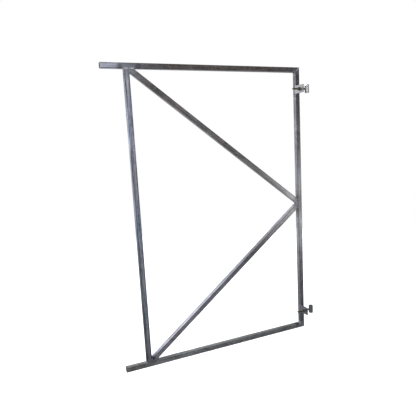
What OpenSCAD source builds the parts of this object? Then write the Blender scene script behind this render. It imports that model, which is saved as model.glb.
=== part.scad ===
// Welded square-tube gate frame with a K brace and two adjustable eye hinges.
// Millimetres. The origin is on the hinge axis, in the plane of the lower eye's
// bottom face. +X runs from the latch side to the hinge side, +Z is up, and the
// hinge lugs stand out of the frame towards -Y.

/* [Tube] */
// Outside size of the square tube
tube = 30; // [25:1:40]
// Wall thickness of the tube
wall = 2; // [1.5:0.5:3]
// Outside corner radius of the tube
tube_r = 4; // [3:0.5:5]

/* [Frame] */
// Height of the frame, over the two rails
frame_h = 1700; // [1400:10:2000]
// Width of the frame, over the two stiles
frame_w = 1100; // [800:10:1300]
// Length of each rail that runs on past the latch stile
overhang = 120; // [40:5:200]
// Offset of each brace's centre line from mid-height, at the hinge stile
brace_off = 11; // [5:1:15]

/* [Hinge lugs] */
// Height of the lower hinge above the bottom of the frame
lower_hinge_z = 135; // [100:5:200]
// Depth of the upper hinge below the top of the frame
upper_hinge_z = 135; // [100:5:200]
// How far a lug stands out of the frame
lug_depth = 74; // [68:1:90]
// Height of a lug
lug_h = 48; // [36:1:60]
// Thickness of a lug
lug_t = 6; // [5:1:8]
// Corner radius of a lug's free end
lug_r = 4; // [2:1:8]

/* [Eyebolts] */
// Diameter of the threaded shank
shank_d = 12; // [10:1:14]
// Outside diameter of an eye
eye_od = 28; // [26:1:32]
// Bore of an eye
eye_bore = 16.5; // [13:0.5:18]
// Height of an eye
eye_h = 50; // [40:1:60]
// Hinge axis beyond the hinge stile's outer face
axis_x = 23; // [20:1:45]
// Hinge axis in front of the frame's front face
axis_y = 42; // [36:1:48]
// Length of shank that stands past the inner nut
tail = 40; // [35:1:45]
// Across flats of a nut
nut_af = 19; // [17:1:22]
// Thickness of a nut
nut_t = 10; // [8:1:12]
// Outside diameter of a washer
washer_d = 24; // [22:1:28]
// Thickness of a washer
washer_t = 2.5; // [2:0.5:3]

/* [Hidden] */
$fn = 64;

z_bot = eye_h / 2 - lower_hinge_z;          // underside of the bottom rail
z_top = z_bot + frame_h;                    // top of the top rail
z_mid = z_bot + frame_h / 2;
z_lo = eye_h / 2;                           // height of the lower shank
z_up = z_top - upper_hinge_z;               // height of the upper shank
x_r = -axis_x;                              // hinge stile, outer face
x_ri = x_r - tube;                          // hinge stile, inner face
x_l = x_r - frame_w;                        // latch stile, outer face
x_li = x_l + tube;                          // latch stile, inner face
x_end = x_l - overhang;                     // free ends of the rails
y_f = axis_y;                               // front face of the frame
lug_x = x_ri;                               // a lug's inner face, flush with the stile
zinc = "#9a9ea3";
zinc_dark = "#7f848a";
passivated = "#8d8568";
bright = "#b4b8bc";
gap = 0.3;                                  // shank to nut, all round

// A centred square with rounded corners
module rounded_square(s, r) {
  union() {
    square([s, s - 2 * r], center = true);
    square([s - 2 * r, s], center = true);
    for (sx = [-1, 1], sy = [-1, 1])
      translate([sx * (s / 2 - r), sy * (s / 2 - r)]) circle(r = r);
  }
}

// Cross-section of the tube, centred
module tube_section() {
  difference() {
    rounded_square(tube, tube_r);
    rounded_square(tube - 2 * wall, tube_r - wall);
  }
}

// A length of tube along +Z from the origin
module tube_bar(l) {
  linear_extrude(height = l) tube_section();
}

// Prism through the whole depth of the frame, over an outline in X and Z
module cutter(pts) {
  translate([0, y_f + tube + 10, 0]) rotate([90, 0, 0])
    linear_extrude(height = tube + 20) polygon(pts);
}

// A rail with its free end square and its other end mitred; up = 1 mitres upwards
module rail(z, up) {
  difference() {
    translate([x_end, y_f + tube / 2, z]) rotate([0, 90, 0]) tube_bar(x_r - x_end);
    if (up > 0)
      cutter([[x_r + 1, z - tube / 2 - 1], [x_ri - 1, z - tube / 2 - 1], [x_r + 1, z + tube / 2 + 1]]);
    else
      cutter([[x_r + 1, z + tube / 2 + 1], [x_ri - 1, z + tube / 2 + 1], [x_r + 1, z - tube / 2 - 1]]);
  }
}

module top_rail() { color(zinc) rail(z_top - tube / 2, 1); }

module bottom_rail() { color(zinc_dark) rail(z_bot + tube / 2, -1); }

module latch_stile() {
  color(zinc) translate([x_l + tube / 2, y_f + tube / 2, z_bot + tube])
    tube_bar(frame_h - 2 * tube);
}

module hinge_stile() {
  color(zinc) difference() {
    translate([x_r - tube / 2, y_f + tube / 2, z_bot]) tube_bar(frame_h);
    cutter([[x_ri - 1, z_top - tube - 1], [x_r + 1, z_top + 1], [x_ri - 1, z_top + 1]]);
    cutter([[x_ri - 1, z_bot + tube + 1], [x_r + 1, z_bot - 1], [x_ri - 1, z_bot - 1]]);
  }
}

// A brace from the inner corner at the latch stile to the hinge stile; s = 1 upper, -1 lower
module brace(s) {
  xa = x_li;
  za = s > 0 ? z_top - tube : z_bot + tube;
  xb = x_ri;
  zb = z_mid + s * brace_off;
  len = sqrt((xb - xa) * (xb - xa) + (zb - za) * (zb - za));
  ang = atan2(zb - za, xb - xa);
  difference() {
    translate([xa, y_f + tube / 2, za]) rotate([0, 90 - ang, 0])
      translate([0, 0, -2 * tube]) tube_bar(len + 4 * tube);
    // trimmed by the latch stile, the rail, the hinge stile and the other brace
    translate([xa - 200, y_f - 10, z_bot - 200]) cube([200, tube + 20, frame_h + 400]);
    translate([xb, y_f - 10, z_bot - 200]) cube([200, tube + 20, frame_h + 400]);
    translate([xa - 200, y_f - 10, s > 0 ? za : za - 200]) cube([frame_w + 400, tube + 20, 200]);
    translate([xb - 300, y_f - 10, s > 0 ? z_mid - 200 : z_mid]) cube([600, tube + 20, 200]);
  }
}

module upper_brace() { color(zinc) brace(1); }

module lower_brace() { color(zinc_dark) brace(-1); }

// A flat lug that stands out of the stile's front face, with a hole for the shank
module lug(z) {
  r = lug_r;
  color(bright) translate([lug_x, 0, z]) difference() {
    rotate([90, 0, 90]) linear_extrude(height = lug_t) union() {
      translate([y_f - lug_depth + r, -lug_h / 2]) square([lug_depth - r, lug_h]);
      translate([y_f - lug_depth, -lug_h / 2 + r]) square([r + 1, lug_h - 2 * r]);
      for (s = [-1, 1]) translate([y_f - lug_depth + r, s * (lug_h / 2 - r)]) circle(r = r);
    }
    translate([-1, 0, 0]) rotate([0, 90, 0]) cylinder(d = shank_d + 1, h = lug_t + 2);
  }
}

module upper_hinge_lug() { lug(z_up); }

module lower_hinge_lug() { lug(z_lo); }

// A hexagon nut along +X from x, its corners chamfered at both faces
module nut(x, z) {
  rc = nut_af / sqrt(3);
  c = rc - nut_af / 2 * 0.96;
  color(passivated) translate([x, 0, z]) rotate([0, 90, 0]) difference() {
    intersection() {
      cylinder(r = rc, h = nut_t, $fn = 6);
      rotate_extrude() polygon([[0, 0], [rc - c, 0], [rc + 0.2, (c + 0.2) * 0.577],
        [rc + 0.2, nut_t - (c + 0.2) * 0.577], [rc - c, nut_t], [0, nut_t]]);
    }
    translate([0, 0, -1]) cylinder(r = shank_d / 2 + gap, h = nut_t + 2);
  }
}

// A plain washer along +X from x
module washer(x, z) {
  color(bright) translate([x, 0, z]) rotate([0, 90, 0]) difference() {
    cylinder(d = washer_d, h = washer_t);
    translate([0, 0, -1]) cylinder(d = shank_d + 1, h = washer_t + 2);
  }
}

module upper_inner_nut() { nut(lug_x - washer_t - nut_t, z_up); }
module upper_inner_washer() { washer(lug_x - washer_t, z_up); }
module upper_outer_washer() { washer(lug_x + lug_t, z_up); }
module upper_outer_nut() { nut(lug_x + lug_t + washer_t, z_up); }
module lower_inner_nut() { nut(lug_x - washer_t - nut_t, z_lo); }
module lower_inner_washer() { washer(lug_x - washer_t, z_lo); }
module lower_outer_washer() { washer(lug_x + lug_t, z_lo); }
module lower_outer_nut() { nut(lug_x + lug_t + washer_t, z_lo); }

// The threaded shank, from its chamfered tail to the outside of the eye
module shank(z) {
  x0 = lug_x - washer_t - nut_t - tail;
  color(passivated) difference() {
    translate([x0, 0, z]) rotate([0, 90, 0]) rotate_extrude()
      polygon([[0, 0], [shank_d / 2 - 1.2, 0], [shank_d / 2, 1.2], [shank_d / 2, -x0], [0, -x0]]);
    translate([0, 0, z - eye_h / 2]) cylinder(d = eye_od + 0.2, h = eye_h);
  }
}

// The eye: a barrel on the hinge axis
module eye(z) {
  ro = eye_od / 2;
  ri = eye_bore / 2;
  color(bright) translate([0, 0, z - eye_h / 2]) rotate_extrude()
    polygon([[ri, 0], [ro - 1, 0], [ro, 1], [ro, eye_h - 1], [ro - 1, eye_h], [ri, eye_h]]);
}

module upper_eye_shank() { shank(z_up); }
module upper_eye() { eye(z_up); }
module lower_eye_shank() { shank(z_lo); }
module lower_eye() { eye(z_lo); }

top_rail();
bottom_rail();
latch_stile();
hinge_stile();
upper_brace();
lower_brace();
upper_hinge_lug();
lower_hinge_lug();
upper_inner_nut();
upper_inner_washer();
upper_outer_washer();
upper_outer_nut();
lower_inner_nut();
lower_inner_washer();
lower_outer_washer();
lower_outer_nut();
upper_eye_shank();
upper_eye();
lower_eye_shank();
lower_eye();
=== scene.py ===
"""Looks for the welded gate frame: galvanised tube, weld beads, threaded eyebolts, studio, camera."""

import math
import random

import bpy
from mathutils import Matrix, Vector


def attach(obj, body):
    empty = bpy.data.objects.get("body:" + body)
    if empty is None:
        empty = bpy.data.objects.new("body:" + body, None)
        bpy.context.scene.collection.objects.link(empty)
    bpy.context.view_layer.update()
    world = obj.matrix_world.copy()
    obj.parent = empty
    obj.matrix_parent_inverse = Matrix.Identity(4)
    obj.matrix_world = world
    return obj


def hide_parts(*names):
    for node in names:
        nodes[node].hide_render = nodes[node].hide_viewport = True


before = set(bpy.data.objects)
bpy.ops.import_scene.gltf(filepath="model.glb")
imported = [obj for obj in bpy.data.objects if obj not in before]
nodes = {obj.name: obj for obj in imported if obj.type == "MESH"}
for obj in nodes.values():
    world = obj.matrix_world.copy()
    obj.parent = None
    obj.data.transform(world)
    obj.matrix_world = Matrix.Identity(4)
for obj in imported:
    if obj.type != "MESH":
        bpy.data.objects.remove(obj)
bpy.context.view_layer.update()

# ------------------------------------------------------------------ places, in metres, as in the CAD
T = 0.030
XR, XRI, XL, XLI, XEND = -0.023, -0.053, -1.123, -1.093, -1.243
YF, YB = 0.042, 0.072
ZB, ZT, ZM = -0.110, 1.590, 0.740
ZLO, ZUP = 0.025, 1.455
ZTI, ZBI = ZT - T, ZB + T
LUG_T, LUG_H, LUG_D = 0.006, 0.048, 0.074
EYE_R, EYE_H = 0.014, 0.050
SHANK_R, SHANK_X0 = 0.006, -0.1055
# direction of the upper brace and the normal of its upper face, in X and Z
_bl = math.hypot(XRI - XLI, ZM + 0.011 - ZTI)
BD = ((XRI - XLI) / _bl, (ZM + 0.011 - ZTI) / _bl)
BN = (-BD[1], BD[0])
BRACE_ON_RAIL = XLI + (T / 2) * (BN[0] + BN[1] * BD[0] / -BD[1])
BRACE_ON_STILE = ZTI - (T / 2) * (BN[1] - BN[0] * BD[1] / BD[0])
BRACE_HI = ZM + 0.011 + T / 2 / BD[0]
CROTCH_X = XRI - (T / 2 / BD[0] - 0.011) * BD[0] / -BD[1]


# ------------------------------------------------------------------ node helpers
class Graph:
    def __init__(self, name):
        self.mat = bpy.data.materials.new(name)
        self.mat.use_nodes = True
        self.t = self.mat.node_tree
        self.t.nodes.clear()
        self.out = self.new("ShaderNodeOutputMaterial")
        self.bsdf = self.new("ShaderNodeBsdfPrincipled")
        self.t.links.new(self.bsdf.outputs[0], self.out.inputs[0])
        self.co = self.new("ShaderNodeTexCoord").outputs["Object"]

    def new(self, kind, **props):
        n = self.t.nodes.new(kind)
        for k, v in props.items():
            setattr(n, k, v)
        return n

    def link(self, a, b):
        self.t.links.new(a, b)

    def put(self, socket, v):
        if isinstance(v, bpy.types.NodeSocket):
            self.link(v, socket)
        else:
            socket.default_value = v

    def math(self, op, a, b=0.0, clamp=False):
        n = self.new("ShaderNodeMath", operation=op, use_clamp=clamp)
        self.put(n.inputs[0], a)
        self.put(n.inputs[1], b)
        return n.outputs[0]

    def ramp(self, fac, stops, smooth=False):
        n = self.new("ShaderNodeValToRGB")
        n.color_ramp.interpolation = "EASE" if smooth else "LINEAR"
        el = n.color_ramp.elements
        while len(el) < len(stops):
            el.new(0.5)
        for e, (p, c) in zip(el, stops):
            e.position = p
            e.color = (c, c, c, 1) if isinstance(c, (int, float)) else (*c, 1)
        self.link(fac, n.inputs[0])
        return n.outputs[0]

    def span(self, v, a, b, lo=0.0, hi=1.0):
        n = self.new("ShaderNodeMapRange")
        n.clamp = True
        self.link(v, n.inputs[0])
        for i, x in enumerate((a, b, lo, hi)):
            n.inputs[1 + i].default_value = x
        return n.outputs[0]

    def mapping(self, scale=(1, 1, 1), rot=(0, 0, 0), co=None):
        n = self.new("ShaderNodeMapping")
        self.link(co or self.co, n.inputs["Vector"])
        n.inputs["Scale"].default_value = scale
        n.inputs["Rotation"].default_value = rot
        return n.outputs[0]

    def noise(self, scale, detail=4.0, rough=0.55, co=None, distort=0.0):
        n = self.new("ShaderNodeTexNoise")
        self.link(co or self.co, n.inputs["Vector"])
        n.inputs["Scale"].default_value = scale
        n.inputs["Detail"].default_value = detail
        n.inputs["Roughness"].default_value = rough
        n.inputs["Distortion"].default_value = distort
        return n.outputs["Fac"]

    def voronoi(self, scale, co=None, feature="F1", out="Color"):
        n = self.new("ShaderNodeTexVoronoi", feature=feature)
        self.link(co or self.co, n.inputs["Vector"])
        n.inputs["Scale"].default_value = scale
        return n.outputs[out]

    def mix(self, fac, a, b, mode="MIX"):
        n = self.new("ShaderNodeMix", data_type="RGBA", blend_type=mode)
        self.put(n.inputs[0], fac)
        for s, v in ((n.inputs[6], a), (n.inputs[7], b)):
            if isinstance(v, bpy.types.NodeSocket):
                self.link(v, s)
            else:
                s.default_value = (*v, 1)
        return n.outputs[2]

    def near(self, p, r0, r1):
        """1 within r0 of the point p, falling to 0 at r1."""
        n = self.new("ShaderNodeVectorMath", operation="DISTANCE")
        self.link(self.co, n.inputs[0])
        n.inputs[1].default_value = p
        return self.span(n.outputs["Value"], r0, r1, 1.0, 0.0)

    def bump(self, height, strength, dist, normal=None):
        n = self.new("ShaderNodeBump")
        n.inputs["Strength"].default_value = strength
        n.inputs["Distance"].default_value = dist
        self.link(height, n.inputs["Height"])
        if normal is not None:
            self.link(normal, n.inputs["Normal"])
        return n.outputs[0]


def galvanised(name, along, tone, dark=(0.085, 0.082, 0.085), light=(0.40, 0.405, 0.43), cool=0.5, joints=(), streak=0.6, warm=0.5, edge_shade=0.35, tint=(1, 1, 1), marks=(), dusty=(0.155, 0.148, 0.138), rim=(0.50, 0.55, 0.64), low_side_shade=0.0):
    """Hot-dip zinc on tube: spangle cells, cloudy mottling, runs along the tube, zinc smears by the welds.
    along: (unit vector, start, end, place of its centre line across) of the tube; tone: (position 0 to 1, factor on its
    colour) down its length, which paints light and shade along the tube together with its warm and cool tint."""
    g = Graph(name)
    axis, a, b, centre = along
    # distance along the tube, 0 to 1
    dot = g.new("ShaderNodeVectorMath", operation="DOT_PRODUCT")
    g.link(g.co, dot.inputs[0])
    dot.inputs[1].default_value = axis
    length = dot.outputs["Value"]
    # painted light and shade: the tone factor lightens the tube where it is lit and darkens it where it is shaded
    painted_light_along = g.ramp(g.span(length, a, b), tone, smooth=True)
    # coordinates squeezed along the tube, for runs of zinc
    rot = math.atan2(axis[2], axis[0])
    run = g.mapping(scale=(1.0, 30.0, 30.0), co=g.mapping(rot=(0, rot, 0)))
    cloudy = g.noise(9.0, 6.0, 0.62, distort=0.6)
    runs = g.noise(5.0, 5.0, 0.6, co=run, distort=0.35)
    warp = g.new("ShaderNodeVectorMath", operation="MULTIPLY_ADD")
    wob = g.new("ShaderNodeTexNoise")
    g.link(g.co, wob.inputs["Vector"])
    wob.inputs["Scale"].default_value = 70.0
    g.link(wob.outputs["Color"], warp.inputs[0])
    warp.inputs[1].default_value = (0.010, 0.010, 0.010)
    g.link(g.co, warp.inputs[2])
    cells = g.new("ShaderNodeSeparateColor")
    g.link(g.voronoi(95.0, co=warp.outputs[0]), cells.inputs[0])
    small = g.new("ShaderNodeSeparateColor")
    g.link(g.voronoi(260.0, co=warp.outputs[0]), small.inputs[0])
    spangle = g.math("ADD", g.math("MULTIPLY", cells.outputs[0], 0.65), g.math("MULTIPLY", small.outputs[1], 0.35))
    v = g.math("MULTIPLY", g.span(cloudy, 0.36, 0.66), 0.36)
    v = g.math("ADD", v, g.math("MULTIPLY", g.span(runs, 0.42, 0.58), streak * 0.42))
    v = g.math("ADD", v, g.math("MULTIPLY", spangle, 0.36))
    v = g.math("MULTIPLY", v, 0.86, clamp=True)
    col = g.mix(v, [c * t for c, t in zip(dark, tint)], [c * t for c, t in zip(light, tint)])
    # cool and warm patches
    hue = g.span(g.noise(3.5, 3.0, 0.5, co=g.mapping(scale=(1.0, 5.0, 1.0))), 0.38, 0.62)
    col = g.mix(g.math("MULTIPLY", hue, cool), col, g.mix(1.0, col, (0.86, 0.93, 1.08), "MULTIPLY"))
    brown = g.span(g.noise(4.2, 4.0, 0.6, co=g.mapping(scale=(1.2, 3.0, 0.8), rot=(0.4, 0.2, 0.9))), 0.52, 0.72)
    col = g.mix(g.math("MULTIPLY", brown, warm), col, g.mix(1.0, col, (1.12, 0.95, 0.85), "MULTIPLY"))
    # painted shade: darker lines beside the corners of the tube stand in for the dark reflections along them, broken up
    # along its length
    sep = g.new("ShaderNodeSeparateXYZ")
    g.link(g.co, sep.inputs[0])
    perp = g.new("ShaderNodeVectorMath", operation="DOT_PRODUCT")
    g.link(g.co, perp.inputs[0])
    perp.inputs[1].default_value = (-axis[2], 0.0, axis[0])
    u = g.math("ABSOLUTE", g.math("MULTIPLY", g.math("SUBTRACT", perp.outputs["Value"], centre), 2 / T))
    w = g.math("ABSOLUTE", g.math("MULTIPLY", g.math("SUBTRACT", sep.outputs[1], (YF + YB) / 2), 2 / T))
    inner = g.math("MINIMUM", u, w)
    line = g.math("MULTIPLY", g.span(inner, 0.46, 0.66), g.span(inner, 0.80, 0.98, 1.0, 0.25))
    patchy = g.span(g.noise(7.0, 3.0, 0.5, co=g.mapping(scale=(1.0, 6.0, 1.0))), 0.36, 0.58, 0.35, 1.0)
    line = g.math("MULTIPLY", line, patchy)
    col = g.mix(g.math("MULTIPLY", line, edge_shade), col, (0.035, 0.033, 0.032))
    # dust on the faces that lie level and look up
    geo = g.new("ShaderNodeNewGeometry")
    up = g.new("ShaderNodeSeparateXYZ")
    g.link(geo.outputs["Normal"], up.inputs[0])
    dust = g.math("MULTIPLY", g.span(up.outputs[2], 0.86, 0.97), g.span(g.noise(38.0, 5.0, 0.6), 0.30, 0.56, 0.45, 1.0))
    col = g.mix(g.math("MULTIPLY", dust, 0.7), col, dusty)
    col = g.mix(1.0, col, painted_light_along, "MULTIPLY")
    if low_side_shade > 0:
        # painted shade: the faces that look away from the hinge are darkened towards the bottom
        low_side_shade_mask = g.math("MULTIPLY", g.span(up.outputs[0], -0.92, -0.55, 1.0, 0.0), g.span(sep.outputs[2], 0.0, 1.22, 1.0, 0.0))
        low_side_shade_mask = g.math("MULTIPLY", low_side_shade_mask, g.span(g.noise(16.0, 5.0, 0.6), 0.30, 0.52, 0.6, 1.0))
        col = g.mix(g.math("MULTIPLY", low_side_shade_mask, low_side_shade), col, (0.050, 0.047, 0.044))
    # fresh zinc sprayed over the welds, with ragged edges
    ragged = g.noise(55.0, 4.0, 0.65)
    smear = None
    for p, k in joints:
        m = g.math("MULTIPLY", g.near(p, 0.004, 0.046), k)
        smear = m if smear is None else g.math("MAXIMUM", smear, m)
    if smear is not None:
        halo = None
        for p, k in joints:
            m = g.math("MULTIPLY", g.near(p, 0.026, 0.070), k)
            halo = m if halo is None else g.math("MAXIMUM", halo, m)
        halo = g.span(g.math("ADD", halo, g.math("MULTIPLY", g.noise(26.0, 4.0, 0.6), 0.8)), 0.72, 1.15)
        col = g.mix(g.math("MULTIPLY", halo, 0.42), col, (0.085, 0.082, 0.088))
        smear = g.span(g.math("ADD", smear, g.math("MULTIPLY", ragged, 0.9)), 0.78, 1.18)
        col = g.mix(g.math("MULTIPLY", smear, 0.5), col, (0.27, 0.28, 0.31))
    # dark spots by the welds: burnt patches, and painted shade in the gaps by the welds
    for p, r, k in marks:
        spot = g.span(g.math("ADD", g.near(p, r * 0.25, r * 1.3), g.math("MULTIPLY", ragged, 0.5)), 0.45, 0.95)
        col = g.mix(g.math("MULTIPLY", spot, k), col, (0.022, 0.022, 0.026))
    # a few dark specks
    speck = g.span(g.voronoi(34.0, out="Distance"), 0.05, 0.085, 1.0, 0.0)
    speck = g.math("MULTIPLY", speck, g.span(g.noise(6.0, 2.0), 0.55, 0.66))
    col = g.mix(g.math("MULTIPLY", speck, 0.6), col, (0.045, 0.043, 0.042))
    g.link(col, g.bsdf.inputs["Base Color"])
    g.bsdf.inputs["Metallic"].default_value = 0.75
    # the oxide skin keeps glancing reflections dull
    g.bsdf.inputs["Specular Tint"].default_value = (*rim, 1)
    rough = g.math("ADD", 0.22, g.math("MULTIPLY", g.math("ADD", spangle, cloudy), 0.11))
    rough = g.math("ADD", rough, g.math("MULTIPLY", dust, 0.35))
    if smear is not None:
        rough = g.math("ADD", rough, g.math("MULTIPLY", smear, 0.14))
    g.link(rough, g.bsdf.inputs["Roughness"])
    peel = g.math("ADD", g.math("MULTIPLY", g.noise(120.0, 3.0), 0.7), g.math("MULTIPLY", spangle, 0.18))
    peel = g.math("ADD", peel, g.math("MULTIPLY", runs, 0.6))
    g.link(g.bump(peel, 0.22, 0.0012), g.bsdf.inputs["Normal"])
    return g.mat


def weld_metal(name, dark, light):
    g = Graph(name)
    n = g.noise(160.0, 5.0, 0.6)
    m = g.noise(34.0, 4.0, 0.6)
    col = g.mix(g.span(m, 0.34, 0.68), dark, light)
    col = g.mix(g.math("MULTIPLY", g.span(n, 0.55, 0.75), 0.5), col, (0.085, 0.078, 0.072))
    g.link(col, g.bsdf.inputs["Base Color"])
    g.bsdf.inputs["Metallic"].default_value = 0.7
    g.link(g.math("ADD", 0.34, g.math("MULTIPLY", n, 0.3)), g.bsdf.inputs["Roughness"])
    g.link(g.bump(n, 0.5, 0.0008), g.bsdf.inputs["Normal"])
    return g.mat


def bright_plate(name, dark, light, scale=60.0, rough=0.34, metal=0.85, rim=(1, 1, 1)):
    """Brighter zinc on the lugs, washers and eyes."""
    g = Graph(name)
    c = g.new("ShaderNodeSeparateColor")
    g.link(g.voronoi(scale * 3.0), c.inputs[0])
    m = g.noise(scale, 5.0, 0.62, distort=0.5)
    v = g.math("ADD", g.math("MULTIPLY", g.span(m, 0.3, 0.7), 0.75), g.math("MULTIPLY", c.outputs[0], 0.25))
    col = g.mix(v, dark, light)
    white = g.span(g.noise(scale * 0.7, 6.0, 0.7), 0.6, 0.78)
    col = g.mix(g.math("MULTIPLY", white, 0.35), col, [1.5 * c for c in light])
    g.link(col, g.bsdf.inputs["Base Color"])
    g.bsdf.inputs["Metallic"].default_value = metal
    g.bsdf.inputs["Specular Tint"].default_value = (*rim, 1)
    g.link(g.math("ADD", rough - 0.08, g.math("MULTIPLY", g.math("ADD", m, white), 0.2)), g.bsdf.inputs["Roughness"])
    g.link(g.bump(g.noise(420.0, 3.0), 0.25, 0.0005), g.bsdf.inputs["Normal"])
    return g.mat


def passivated(name, dark=(0.042, 0.038, 0.028), light=(0.16, 0.146, 0.108), bare=0.55):
    """Dark olive zinc passivation, worn bright on the high spots."""
    g = Graph(name)
    m = g.noise(90.0, 5.0, 0.62)
    col = g.mix(g.span(m, 0.32, 0.68), dark, light)
    worn = g.span(g.noise(240.0, 4.0, 0.6), 0.56, 0.72)
    col = g.mix(g.math("MULTIPLY", worn, bare), col, (0.30, 0.30, 0.29))
    iris = g.span(g.noise(45.0, 2.0), 0.5, 0.68)
    col = g.mix(g.math("MULTIPLY", iris, 0.25), col, (0.14, 0.18, 0.13))
    g.link(col, g.bsdf.inputs["Base Color"])
    g.bsdf.inputs["Metallic"].default_value = 0.85
    g.link(g.math("ADD", 0.30, g.math("MULTIPLY", m, 0.28)), g.bsdf.inputs["Roughness"])
    g.link(g.bump(g.noise(600.0, 3.0), 0.2, 0.0004), g.bsdf.inputs["Normal"])
    return g.mat


def dress(node, mat):
    o = nodes[node]
    o.data.materials.clear()
    o.data.materials.append(mat)


X, Z = (1.0, 0.0, 0.0), (0.0, 0.0, 1.0)
UB = (BD[0], 0.0, BD[1])
LB = (BD[0], 0.0, -BD[1])


def along_brace(d, p0, p1):
    return (d, p0[0] * d[0] + p0[1] * d[2], p1[0] * d[0] + p1[1] * d[2], -p0[0] * d[2] + p0[1] * d[0])


YC = (YF + YB) / 2
def spots(k, *pts):
    return [(p, k) for p in pts]


J_TL = spots(0.95, (XL + 0.015, YF, ZTI), (XLI + 0.006, YF, ZTI - 0.006), (XL, YC, ZTI))
J_BL = spots(0.55, (XL + 0.015, YF, ZBI), (XL, YC, ZBI))
J_TR = spots(0.85, (XRI, YF, ZTI), (XRI, YC, ZTI))
J_BR = spots(0.70, (XRI, YF, ZBI), (XRI, YC, ZBI))
J_MID = spots(0.85, (XRI, YF, ZM + 0.020), (XRI, YF, ZM - 0.020))
J_LUGS = spots(0.80, (XRI, YF, ZUP)) + spots(0.6, (XRI, YF, ZLO))
# dark spots: where, how wide, how dark. The top-left ones are burnt patches; those at the middle joint and the
# bottom-right corner are painted shade in the gaps by the welds; the bottom-left ones darken the corner where the lower
# brace meets the latch stile.
B_TL = [((-1.143, YF, 1.570), 0.016, 0.55), ((-1.042, YF, 1.571), 0.020, 0.5)]
B_BL = [((XLI + 0.006, YF, -0.060), 0.014, 0.85), ((XLI + 0.006, YB, -0.060), 0.012, 0.7)]
SHADE_MID = [((XRI - 0.004, YF, ZM + 0.018), 0.008, 0.55), ((XRI - 0.003, YF, ZM - 0.017), 0.009, 0.75)]
SHADE_BR = [((-0.080, YC, ZBI), 0.022, 0.8)]

# the tone ramps below paint light and shade along each tube, besides its tint
dress("top_rail", galvanised("zinc_top_rail", (X, XEND, XR, ZT - T / 2),
      [(0.0, (0.99, 1.01, 1.08)), (0.075, (0.97, 0.99, 1.06)), (0.11, (0.62, 0.62, 0.65)), (0.25, (0.48, 0.44, 0.42)), (0.4, (0.70, 0.62, 0.56)), (0.8, (0.86, 0.78, 0.73)), (1.0, (0.62, 0.59, 0.59))],
      joints=J_TL + J_TR, cool=0.25, warm=0.9, edge_shade=0.1, marks=B_TL, rim=(0.92, 0.96, 1.0)))
dress("bottom_rail", galvanised("zinc_bottom_rail", (X, XEND, XR, ZB + T / 2),
      [(0.0, (1.05, 1.04, 0.95)), (0.12, (1.12, 1.14, 1.09)), (0.42, (1.16, 1.20, 1.17)), (0.66, (1.02, 1.06, 1.03)), (0.88, (0.90, 0.92, 0.88)), (1.0, (0.82, 0.85, 0.82))],
      joints=J_BL + J_BR, cool=0.2, warm=0.3, marks=B_BL + SHADE_BR, dusty=(0.105, 0.100, 0.090)))
dress("latch_stile", galvanised("zinc_latch_stile", (Z, ZB, ZT, -(XL + T / 2)),
      [(0.0, (0.77, 0.81, 0.81)), (0.30, (1.0, 1.08, 1.15)), (0.55, (1.15, 1.23, 1.35)), (0.8, (1.40, 1.42, 1.52)), (0.92, (0.84, 0.83, 0.84)), (1.0, (0.90, 0.90, 0.95))],
      joints=J_TL + J_BL, streak=1.9, cool=0.7, warm=0.9, edge_shade=0.85, marks=B_BL, rim=(0.14, 0.17, 0.24), low_side_shade=0.8))
dress("hinge_stile", galvanised("zinc_hinge_stile", (Z, ZB, ZT, -(XR - T / 2)),
      [(0.0, (0.58, 0.60, 0.58)), (0.10, (0.86, 0.86, 0.83)), (0.22, (0.88, 0.83, 0.78)), (0.36, (1.26, 1.24, 1.20)), (0.54, (0.94, 0.94, 0.92)), (0.72, (0.90, 0.85, 0.81)), (1.0, (0.56, 0.52, 0.49))],
      joints=J_TR + J_BR + J_MID + J_LUGS, cool=0.3, warm=0.6, streak=0.9, marks=SHADE_MID, low_side_shade=0.45))
dress("upper_brace", galvanised("zinc_upper_brace", along_brace(UB, (XLI, ZTI), (XRI, ZM)),
      [(0.0, (0.80, 0.78, 0.77)), (0.1, (0.70, 0.64, 0.58)), (0.36, (1.12, 1.06, 0.99)), (0.55, (0.80, 0.76, 0.72)), (0.74, (0.62, 0.60, 0.56)), (0.88, (1.02, 1.0, 0.95)), (1.0, (1.28, 1.26, 1.20))],
      joints=J_TL + J_MID, cool=0.25, warm=0.6, edge_shade=0.1, marks=SHADE_MID, rim=(0.92, 0.96, 1.0)))
dress("lower_brace", galvanised("zinc_lower_brace", along_brace(LB, (XLI, ZBI), (XRI, ZM)),
      [(0.0, (1.24, 1.25, 1.29)), (0.38, (1.24, 1.23, 1.26)), (0.55, (1.0, 0.98, 0.98)), (0.72, (0.62, 0.60, 0.58)), (0.86, (0.98, 0.95, 0.90)), (1.0, (1.32, 1.28, 1.20))],
      joints=J_BL + J_MID, cool=0.3, warm=0.3, marks=SHADE_MID + B_BL))

# painted shade: the lower lug, the lower eye and the lower nuts and shank take darker copies of the zinc than the upper
# ones
upper_plate = bright_plate("zinc_upper_lug", (0.17, 0.17, 0.165), (0.36, 0.355, 0.335))
lower_plate_shaded = bright_plate("zinc_lower_lug_shaded", (0.066, 0.070, 0.078), (0.160, 0.170, 0.186))
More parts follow.
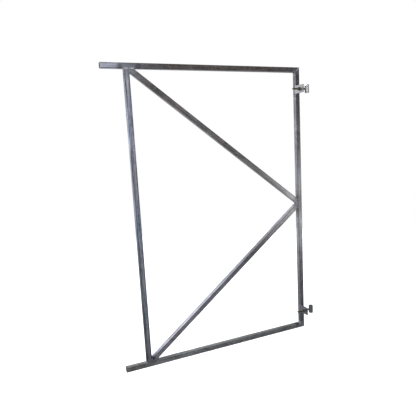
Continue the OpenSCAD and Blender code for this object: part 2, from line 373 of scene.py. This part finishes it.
# painted highlight: the upper eye's zinc is much brighter than the other zinc, standing in for the highlight on the
# barrel
upper_eye_zinc_painted_light = bright_plate("zinc_upper_eye_painted_light", (0.46, 0.46, 0.47), (0.76, 0.76, 0.78), scale=90.0, rough=0.09)
lower_eye_zinc_shaded = bright_plate("zinc_lower_eye_shaded", (0.075, 0.075, 0.077), (0.19, 0.19, 0.19), scale=90.0, rough=0.34, metal=0.65, rim=(0.12, 0.12, 0.12))
washer_zinc = bright_plate("zinc_washer", (0.22, 0.22, 0.225), (0.48, 0.48, 0.49), scale=140.0, rough=0.30)
olive = passivated("zinc_passivated")
olive_lower_shaded = passivated("zinc_passivated_lower_shaded", (0.030, 0.028, 0.022), (0.105, 0.098, 0.076), bare=0.35)
dress("upper_hinge_lug", upper_plate)
dress("lower_hinge_lug", lower_plate_shaded)
dress("upper_eye", upper_eye_zinc_painted_light)
dress("lower_eye", lower_eye_zinc_shaded)
for n in nodes:
    if n.endswith("_washer"):
        dress(n, washer_zinc)
    elif n.endswith("_nut") or n.endswith("_shank"):
        dress(n, olive_lower_shaded if n.startswith("lower") else olive)


# ------------------------------------------------------------------ mesh helpers
def add_object(name, verts, faces, mat, body, smooth=True):
    me = bpy.data.meshes.new(name)
    me.from_pydata(verts, [], faces)
    me.validate()
    me.update()
    if smooth:
        for p in me.polygons:
            p.use_smooth = True
    me.materials.append(mat)
    o = bpy.data.objects.new(name, me)
    bpy.context.scene.collection.objects.link(o)
    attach(o, body)
    return o


def lerp_noise(rng, n):
    """A smooth random curve on 0 to 1, from n random values."""
    vals = [rng.uniform(-1, 1) for _ in range(n + 2)]

    def at(u):
        x = max(0.0, min(0.9999, u)) * n
        i = int(x)
        f = x - i
        f = f * f * (3 - 2 * f)
        return vals[i] * (1 - f) + vals[i + 1] * f

    return at


def bead(verts, faces, pts, up, w, h, rng, sink=0.55, pitch=0.0034, closed=False, sides=12):
    """One weld run: a low ripple-backed ridge swept along pts. up is a vector, or one for each point."""
    pts = [Vector(p) for p in pts]
    ups = [Vector(u) for u in up] if isinstance(up, list) else [Vector(up)] * len(pts)
    ends = pts + [pts[0]] if closed else pts
    uends = ups + [ups[0]] if closed else ups
    lens = [0.0]
    for p, q in zip(ends, ends[1:]):
        lens.append(lens[-1] + (q - p).length)
    total = lens[-1]
    n = max(8, int(total / 0.0007))
    wide, tall, drift = lerp_noise(rng, max(2, int(total / 0.008))), lerp_noise(rng, max(2, int(total / 0.006))), lerp_noise(rng, max(2, int(total / 0.010)))
    rings = []
    count = n if closed else n + 1
    for k in range(count):
        s = total * k / n
        i = 0
        while i < len(lens) - 2 and lens[i + 1] < s:
            i += 1
        f = (s - lens[i]) / max(1e-9, lens[i + 1] - lens[i])
        c = ends[i].lerp(ends[i + 1], f)
        u = uends[i].lerp(uends[i + 1], f).normalized()
        t = (ends[i + 1] - ends[i]).normalized()
        side = t.cross(u).normalized()
        u = side.cross(t).normalized()
        e = min(1.0, min(s, total - s) / (w * 0.55)) if not closed else 1.0
        e = math.sqrt(max(0.03, 1 - (1 - e) ** 2))
        if closed:
            blend = min(s, total - s) / total
            j = min(1.0, blend * 8)
        else:
            j = 1.0
        ww = w * 0.5 * (1 + 0.14 * wide(s / total) * j) * e
        hh = h * (1 + 0.22 * tall(s / total) * j) * e
        c = c + side * (0.10 * w * drift(s / total) * j)
        ring = []
        for m in range(sides):
            a = 2 * math.pi * m / sides
            ca, sa = math.cos(a), math.sin(a)
            ripple = 1 + 0.13 * math.cos(2 * math.pi * (s / pitch + 0.42 * ca * ca)) if sa > 0.05 else 1.0
            ring.append(len(verts))
            verts.append(tuple(c + side * (ww * ca) + u * ((hh * ripple if sa > 0 else hh * sink) * sa)))
        rings.append(ring)
    for k in range(count if closed else count - 1):
        r0, r1 = rings[k], rings[(k + 1) % count]
        for m in range(sides):
            faces.append((r0[m], r0[(m + 1) % sides], r1[(m + 1) % sides], r1[m]))
    if not closed:
        faces.append(tuple(reversed(rings[0])))
        faces.append(tuple(rings[-1]))


# painted light and shade: the beads at the top-left corner get a lighter copy of the weld zinc, those low on the frame
# and at the lower hinge a darker copy
weld_lit = weld_metal("weld_zinc_lit", (0.28, 0.285, 0.31), (0.66, 0.68, 0.76))
weld_mid = weld_metal("weld_zinc", (0.17, 0.168, 0.172), (0.40, 0.40, 0.41))
weld_shaded = weld_metal("weld_zinc_shaded", (0.085, 0.086, 0.088), (0.22, 0.225, 0.23))


def welds(name, runs, metal, seed, body="frame"):
    rng = random.Random(seed)
    verts, faces = [], []
    for pts, up, w, h in runs:
        bead(verts, faces, pts, up, w, h, rng)
    return add_object(name, verts, faces, metal, body)


def both_faces(p, q, w, h):
    """The same run on the front and the back of the frame, between two points in X and Z."""
    return [
        ([(p[0], YF, p[1]), (q[0], YF, q[1])], (0, -1, 0), w, h),
        ([(p[0], YB, p[1]), (q[0], YB, q[1])], (0, 1, 0), w, h),
    ]


def across(p, up, w, h):
    """A run through the depth of the frame, in a corner that opens towards up."""
    return [([(p[0], YF + 0.0025, p[1]), (p[0], YB - 0.0025, p[1])], (up[0], 0, up[1]), w, h)]


def latch_corner(flip):
    f = (lambda z: 2 * ZM - z) if flip else (lambda z: z)
    s = -1 if flip else 1
    runs = []
    runs += both_faces((XL + 0.001, f(ZTI + 0.0008)), (XLI - 0.001, f(ZTI + 0.0008)), 0.0078, 0.0019)
    runs += both_faces((XLI - 0.002, f(ZTI + 0.0006)), (BRACE_ON_RAIL + 0.002, f(ZTI + 0.0006)), 0.0074, 0.0019)
    runs += both_faces((XLI, f(ZTI - 0.001)), (XLI, f(BRACE_ON_STILE - 0.002)), 0.0070, 0.0018)
    runs += across((XL, f(ZTI)), (-0.7, -0.7 * s), 0.0085, 0.0034)
    runs += across((BRACE_ON_RAIL, f(ZTI)), (BN[0], (BN[1] - 1) * s), 0.0080, 0.0032)
    runs += across((XLI, f(BRACE_ON_STILE)), (1 - BN[0], -BN[1] * s), 0.0080, 0.0032)
    return runs


def hinge_corner(flip):
    f = (lambda z: 2 * ZM - z) if flip else (lambda z: z)
    s = -1 if flip else 1
    runs = []
    runs += both_faces((XRI + 0.001, f(ZTI + 0.001)), (XR - 0.003, f(ZT - 0.003)), 0.0072, 0.0016)
    runs += across((XRI, f(ZTI)), (-0.7, -0.7 * s), 0.0110, 0.0046)
    runs += [([(XR - 0.0012, YF + 0.004, f(ZT - 0.0012)), (XR - 0.0012, YB - 0.004, f(ZT - 0.0012))], (0.7, 0, 0.7 * s), 0.0055, 0.0012)]
    return runs


def middle():
    runs = []
    runs += both_faces((XRI, ZM + 0.002), (XRI, BRACE_HI + 0.001), 0.0060, 0.0014)
    runs += both_faces((XRI, ZM - 0.002), (XRI, 2 * ZM - BRACE_HI - 0.001), 0.0060, 0.0014)
    runs += both_faces((CROTCH_X - 0.001, ZM), (XRI - 0.001, ZM), 0.0055, 0.0013)
    runs += across((XRI, BRACE_HI), (BN[0] - 1, BN[1]), 0.0080, 0.0032)
    runs += across((XRI, 2 * ZM - BRACE_HI), (BN[0] - 1, -BN[1]), 0.0080, 0.0032)
    runs += across((CROTCH_X, ZM), (-1, 0), 0.0085, 0.0030)
    return runs


def lug_welds(z):
    h = LUG_H / 2
    return [
        ([(XRI + LUG_T, YF, z - h), (XRI + LUG_T, YF, z + h)], (0.7, -0.7, 0), 0.0085, 0.0034),
        ([(XRI + 0.0006, YF + 0.0012, z + h + 0.001), (XRI + 0.0006, YF + 0.0012, z - h - 0.001)], (-1, -0.15, 0), 0.0062, 0.0016),
        ([(XRI + 0.001, YF, z + h), (XRI + LUG_T + 0.001, YF, z + h)], (0, -0.7, 0.7), 0.0075, 0.0032),
        ([(XRI + 0.001, YF, z - h), (XRI + LUG_T + 0.001, YF, z - h)], (0, -0.7, -0.7), 0.0075, 0.0032),
    ]


welds("weld_top_latch", latch_corner(False), weld_lit, 11)
welds("weld_bottom_latch", latch_corner(True), weld_shaded, 12)
welds("weld_top_hinge", hinge_corner(False), weld_mid, 13)
welds("weld_bottom_hinge", hinge_corner(True), weld_shaded, 14)
welds("weld_middle", middle(), weld_mid, 15)
welds("weld_upper_lug", lug_welds(ZUP), weld_mid, 16)
welds("weld_lower_lug", lug_welds(ZLO), weld_shaded, 17)


def eye_weld(name, z, metal, body, seed):
    """The weld ring where the shank meets the barrel."""
    rng = random.Random(seed)
    verts, faces, pts, ups = [], [], [], []
    for k in range(28):
        a = 2 * math.pi * k / 28
        y, dz = (SHANK_R + 0.0006) * math.cos(a), (SHANK_R + 0.0006) * math.sin(a)
        pts.append((-math.sqrt(EYE_R * EYE_R - y * y), y, z + dz))
        ups.append((-0.8, math.cos(a), math.sin(a)))
    bead(verts, faces, pts, ups, 0.0062, 0.0024, rng, closed=True)
    o = add_object(name, verts, faces, metal, body)
    return o


eye_weld("weld_upper_eye", ZUP, weld_mid, "upper_eyebolt", 21)
eye_weld("weld_lower_eye", ZLO, weld_shaded, "lower_eyebolt", 22)


def threaded_shank(name, z, body, node):
    """The shank with its rolled thread, ending inside the eye's outline."""
    pitch, rmaj, rmin = 0.00175, SHANK_R, SHANK_R - 0.00088
    x0, x1 = SHANK_X0, -0.0132
    thread_end = -0.0215
    seg, step = 36, pitch / 7
    n = int((x1 - x0) / step)
    verts, faces = [], []
    for i in range(n + 1):
        x = x0 + (x1 - x0) * i / n
        for k in range(seg):
            a = 2 * math.pi * k / seg
            ph = ((x - x0) / pitch - k / seg) % 1.0
            # flat crest, sloping flanks, rounded root
            if ph < 0.14:
                f = 1.0
            elif ph < 0.48:
                f = 1 - (ph - 0.14) / 0.34
            elif ph < 0.66:
                f = 0.0
            else:
                f = (ph - 0.66) / 0.34
            r = rmin + (rmaj - rmin) * f
            if x > thread_end:
                t = min(1.0, (x - thread_end) / 0.0022)
                r = r * (1 - t) + (rmaj - 0.0003) * t
            r = min(r, SHANK_R - 0.0012 + (x - x0))
            verts.append((x, r * math.cos(a), z + r * math.sin(a)))
    for i in range(n):
        for k in range(seg):
            k2 = (k + 1) % seg
            faces.append((i * seg + k, (i + 1) * seg + k, (i + 1) * seg + k2, i * seg + k2))
    faces.append(tuple(range(seg)))
    faces.append(tuple(n * seg + k for k in reversed(range(seg))))
    o = add_object(name, verts, faces, olive_lower_shaded if body.startswith("lower") else olive, body, smooth=False)
    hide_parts(node)
    return o


threaded_shank("thread_upper", ZUP, "upper_eyebolt", "upper_eye_shank")
threaded_shank("thread_lower", ZLO, "lower_eyebolt", "lower_eye_shank")

# ------------------------------------------------------------------ studio
scene = bpy.context.scene
scene.view_settings.view_transform = "Standard"
scene.view_settings.look = "None"
world = bpy.data.worlds.new("studio")
scene.world = world
world.use_nodes = True
wt = world.node_tree
wt.nodes.clear()
wout = wt.nodes.new("ShaderNodeOutputWorld")
mixer = wt.nodes.new("ShaderNodeMixShader")
path = wt.nodes.new("ShaderNodeLightPath")
seen = wt.nodes.new("ShaderNodeBackground")
seen.inputs[0].default_value = (1, 1, 1, 1)
seen.inputs[1].default_value = 1.0
lit = wt.nodes.new("ShaderNodeBackground")
lit.inputs[1].default_value = 1.45
sky = wt.nodes.new("ShaderNodeTexCoord")
sep = wt.nodes.new("ShaderNodeSeparateXYZ")
wt.links.new(sky.outputs["Generated"], sep.inputs[0])
# an even dim light all round, and a bright soft wall behind and to the left that ends at the ground
dot = wt.nodes.new("ShaderNodeVectorMath")
dot.operation = "DOT_PRODUCT"
wt.links.new(sky.outputs["Generated"], dot.inputs[0])
dot.inputs[1].default_value = Vector((-0.44, 0.86, 0.26)).normalized()
side = wt.nodes.new("ShaderNodeMapRange")
side.interpolation_type = "SMOOTHSTEP"
for i, v in enumerate((0.05, 0.95, 0.0, 1.0)):
    side.inputs[1 + i].default_value = v
wt.links.new(dot.outputs["Value"], side.inputs[0])
under = wt.nodes.new("ShaderNodeMapRange")
under.interpolation_type = "SMOOTHSTEP"
for i, v in enumerate((-0.54, -0.20, 0.10, 1.0)):
    under.inputs[1 + i].default_value = v
wt.links.new(sep.outputs[2], under.inputs[0])
wall = wt.nodes.new("ShaderNodeMath")
wall.operation = "MULTIPLY"
wt.links.new(side.outputs[0], wall.inputs[0])
wt.links.new(under.outputs[0], wall.inputs[1])
times = wt.nodes.new("ShaderNodeMath")
times.operation = "MULTIPLY_ADD"
wt.links.new(wall.outputs[0], times.inputs[0])
times.inputs[1].default_value = 0.76
# the even light is stronger from both sides than from the front right
across_x = wt.nodes.new("ShaderNodeMapRange")
for i, v in enumerate((-1.0, 1.0, 0.0, 1.0)):
    across_x.inputs[1 + i].default_value = v
wt.links.new(sep.outputs[0], across_x.inputs[0])
dim = wt.nodes.new("ShaderNodeValToRGB")
de = dim.color_ramp.elements
for _ in range(4):
    de.new(0.5)
for e, (p, c) in zip(de, ((0.12, 0.60), (0.36, 0.32), (0.56, 0.28), (0.79, 0.125), (0.88, 0.14), (0.97, 0.62))):
    e.position = p
    e.color = (c, c, c, 1)
wt.links.new(across_x.outputs[0], dim.inputs[0])
wt.links.new(dim.outputs[0], times.inputs[2])
tint = wt.nodes.new("ShaderNodeValToRGB")
te = tint.color_ramp.elements
te.new(0.5)
for e, (p, c) in zip(te, ((0.0, (0, 0, 0)), (0.30, (0.30, 0.30, 0.295)), (1.0, (0.95, 0.97, 1.06)))):
    e.position = p
    e.color = (*c, 1)


def sky_span(v, a, b, lo, hi):
    n = wt.nodes.new("ShaderNodeMapRange")
    n.interpolation_type = "SMOOTHSTEP"
    for i, x in enumerate((a, b, lo, hi)):
        n.inputs[1 + i].default_value = x
    wt.links.new(v, n.inputs[0])
    return n.outputs[0]


def sky_math(op, a, b, c=None):
    n = wt.nodes.new("ShaderNodeMath")
    n.operation = op
    for sock, v in zip(n.inputs, (a, b, c)):
        if isinstance(v, bpy.types.NodeSocket):
            wt.links.new(v, sock)
        elif v is not None:
            sock.default_value = v
    return n.outputs[0]


# low behind the frame the ground is dim to the left and a little lighter to the right
low = sky_math("MULTIPLY", sky_span(sep.outputs[1], 0.0, 0.5, 0.0, 1.0), sky_span(sep.outputs[2], -0.48, -0.18, 1.0, 0.0))
cut = sky_math("MULTIPLY", low, sky_span(sep.outputs[0], -0.20, -0.11, -0.62, 0.0))
light = sky_math("MULTIPLY_ADD", times.outputs[0], cut, times.outputs[0])
light = sky_math("ADD", light, sky_math("MULTIPLY", low, sky_span(sep.outputs[0], 0.0, 0.25, 0.0, 0.24)))
# the pale ground close in front lights the lower edges
near_ground = sky_math("MULTIPLY", sky_span(sep.outputs[1], 0.05, 0.40, 1.0, 0.0), sky_span(sep.outputs[2], -0.88, -0.52, 0.62, 0.0))
light = sky_math("ADD", light, near_ground)
wt.links.new(light, tint.inputs[0])
wt.links.new(tint.outputs[0], lit.inputs[0])
wt.links.new(path.outputs["Is Camera Ray"], mixer.inputs[0])
wt.links.new(lit.outputs[0], mixer.inputs[1])
wt.links.new(seen.outputs[0], mixer.inputs[2])
wt.links.new(mixer.outputs[0], wout.inputs[0])


def area(name, loc, aim, size, watts, colour=(1, 1, 1)):
    d = bpy.data.lights.new(name, "AREA")
    d.shape = "DISK"
    d.size = size
    d.energy = watts
    d.color = colour
    o = bpy.data.objects.new(name, d)
    o.location = loc
    o.visible_camera = False
    o.rotation_mode = "QUATERNION"
    o.rotation_quaternion = (Vector(aim) - Vector(loc)).to_track_quat("-Z", "Y")
    scene.collection.objects.link(o)
    return o


area("key_left", (-3.4, 0.9, 2.3), (-0.5, 0.05, 1.0), 1.6, 90, (0.98, 0.99, 1.03))
area("box_left", (-0.95, -2.3, 2.05), (-1.15, 0.05, 1.5), 0.7, 7.5, (0.97, 0.98, 1.04))
area("box_right", (1.32, -2.2, 0.45), (-0.10, 0.05, 0.75), 1.1, 8)
sun = bpy.data.lights.new("overhead", "SUN")
sun.energy = 2.3
sun.angle = 1.4
sun_o = bpy.data.objects.new("overhead", sun)
sun_o.rotation_mode = "QUATERNION"
sun_o.rotation_quaternion = Vector((0.35, -0.12, -1.0)).to_track_quat("-Z", "Y")
scene.collection.objects.link(sun_o)

floor_me = bpy.data.meshes.new("floor")
# the gate hangs on its hinges, clear of the ground
FLOOR_R, FLOOR_N, FLOOR_Z = 4.0, 96, ZB - 0.08
rim = [(-0.62 + FLOOR_R * math.cos(2 * math.pi * k / FLOOR_N), 0.06 + FLOOR_R * math.sin(2 * math.pi * k / FLOOR_N), FLOOR_Z) for k in range(FLOOR_N)]
floor_me.from_pydata(rim, [], [tuple(range(FLOOR_N))])
floor = bpy.data.objects.new("floor", floor_me)
scene.collection.objects.link(floor)
# the pale floor catches the shadow but throws no light back up on to the frame
floor.visible_diffuse = False
floor.visible_glossy = False
fg = Graph("floor_pale")
fg.bsdf.inputs["Base Color"].default_value = (0.95, 0.95, 0.95, 1)
fg.bsdf.inputs["Roughness"].default_value = 0.9
fg.bsdf.inputs["Specular IOR Level"].default_value = 0.1
floor_me.materials.append(fg.mat)

# ------------------------------------------------------------------ camera
cd = bpy.data.cameras.new("camera")
cd.sensor_width = 36.0
cd.lens = 35.927
cd.clip_start, cd.clip_end = 0.05, 100
cam = bpy.data.objects.new("camera", cd)
right, down, ahead = Vector((0.91492, -0.40005, -0.05366)), Vector((-0.10819, -0.11497, -0.98746)), Vector((0.38887, 0.90925, -0.14846))
m = Matrix.Identity(4)
for i in range(3):
    m[i][0], m[i][1], m[i][2] = right[i], -down[i], -ahead[i]
m.translation = Vector((-1.63795, -2.17525, 1.14052))
cam.matrix_world = m
scene.collection.objects.link(cam)
scene.camera = cam
